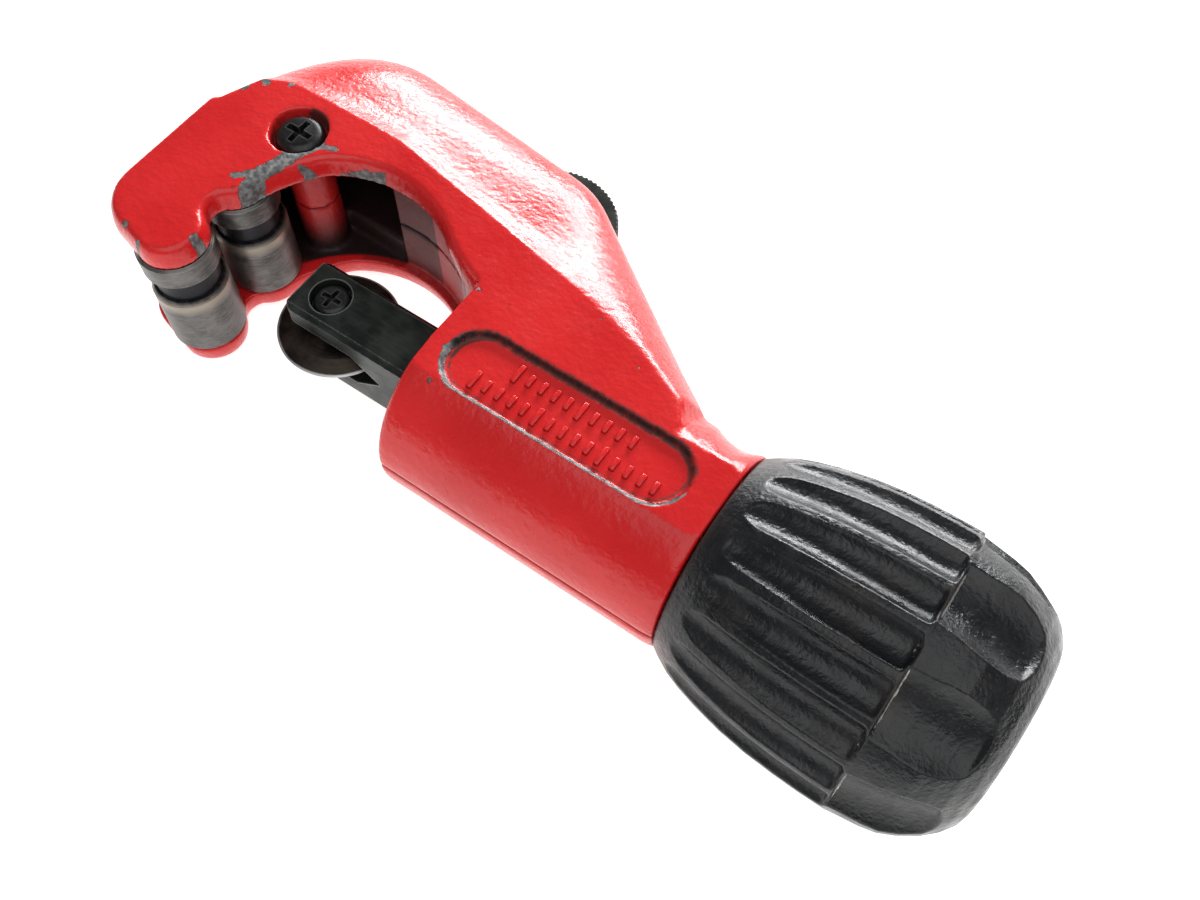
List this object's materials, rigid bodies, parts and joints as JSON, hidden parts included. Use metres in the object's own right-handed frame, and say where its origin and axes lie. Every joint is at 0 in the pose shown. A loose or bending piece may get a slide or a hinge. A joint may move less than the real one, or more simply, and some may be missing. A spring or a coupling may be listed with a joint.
{
  "type": "pipe cutter",
  "caption": "Enclosed-feed pipe cutter: C-shaped die-cast frame, rollers, a cutting wheel on a square slide, a fluted feed knob and a fold-out reamer.",
  "frame": {"origin": "midway between the two roller axes, on the parting plane of the half shells", "axes": "+X along the feed axis from the jaw to the knob, +Y to the closed spine, +Z along the roller axes out of the upper half shell"},
  "size_m": [0.1489, 0.0656, 0.042],
  "materials": {
    "red_enamel": "glossy red enamel on die-cast metal, chipped",
    "black_paint": "textured black paint with polished flutes, worn on the edges",
    "black_oxide": "black oxide, worn grey on the edges",
    "black_screw": "black oxide screw",
    "roller_steel": "grey worn steel",
    "wheel_steel": "dark hardened steel with a ground edge",
    "pin_steel": "ground steel",
    "bright_steel": "turned bright steel",
    "nut_brass": "turned brass",
    "washer_brass": "rolled brass",
    "ring_rubber": "black rubber",
    "reamer_steel": "dark knurled steel"
  },
  "bodies": {
    "frame": {"upper_half_shell": "red_enamel", "lower_half_shell": "red_enamel", "head_screw": "black_screw", "spine_screw": "black_screw", "rear_screw_left": "black_screw", "rear_screw_right": "black_screw", "front_roller_pin": "pin_steel", "rear_roller_pin": "pin_steel", "reamer_pivot_pin": "pin_steel", "reamer_spring_washer": "bright_steel", "thrust_washer": "washer_brass"},
    "front_roller": {"front_roller": "roller_steel"},
    "rear_roller": {"rear_roller": "roller_steel"},
    "slide": {"cutter_slide": "black_oxide", "feed_screw": "bright_steel", "feed_screw_pin": "pin_steel", "wheel_axle_screw": "black_screw"},
    "wheel": {"cutter_wheel": "wheel_steel"},
    "knob": {"knob": "black_paint", "feed_nut": "nut_brass", "knob_grub_screw": "black_screw", "knob_friction_ring": "ring_rubber"},
    "reamer": {"reamer_blade": "reamer_steel"}
  },
  "joints": [
    {"name": "knob_turn", "type": "hinge", "parent": "frame", "child": "knob", "pos_m": [0, 0, 0], "axis": [1, 0, 0], "range_deg": [-1150, 4560]},
    {"name": "slide_feed", "type": "slide", "parent": "frame", "child": "slide", "axis": [1, 0, 0], "range_m": [-0.0065, 0.0254]},
    {"name": "wheel_spin", "type": "hinge", "parent": "slide", "child": "wheel", "pos_m": [0.0241, 0, 0], "axis": [0, 0, 1], "continuous": true},
    {"name": "front_roller_spin", "type": "hinge", "parent": "frame", "child": "front_roller", "pos_m": [0, -0.0068, 0], "axis": [0, 0, 1], "continuous": true},
    {"name": "rear_roller_spin", "type": "hinge", "parent": "frame", "child": "rear_roller", "pos_m": [0, 0.0068, 0], "axis": [0, 0, 1], "continuous": true},
    {"name": "reamer_fold", "type": "hinge", "parent": "frame", "child": "reamer", "pos_m": [0.0395, 0.0336, 0], "axis": [0, 0, 1], "range_deg": [0, 120]}
  ],
  "couplings": [
    {"joint": "slide_feed", "follows": "knob_turn", "m_per_rad": 0.00031831}
  ]
}
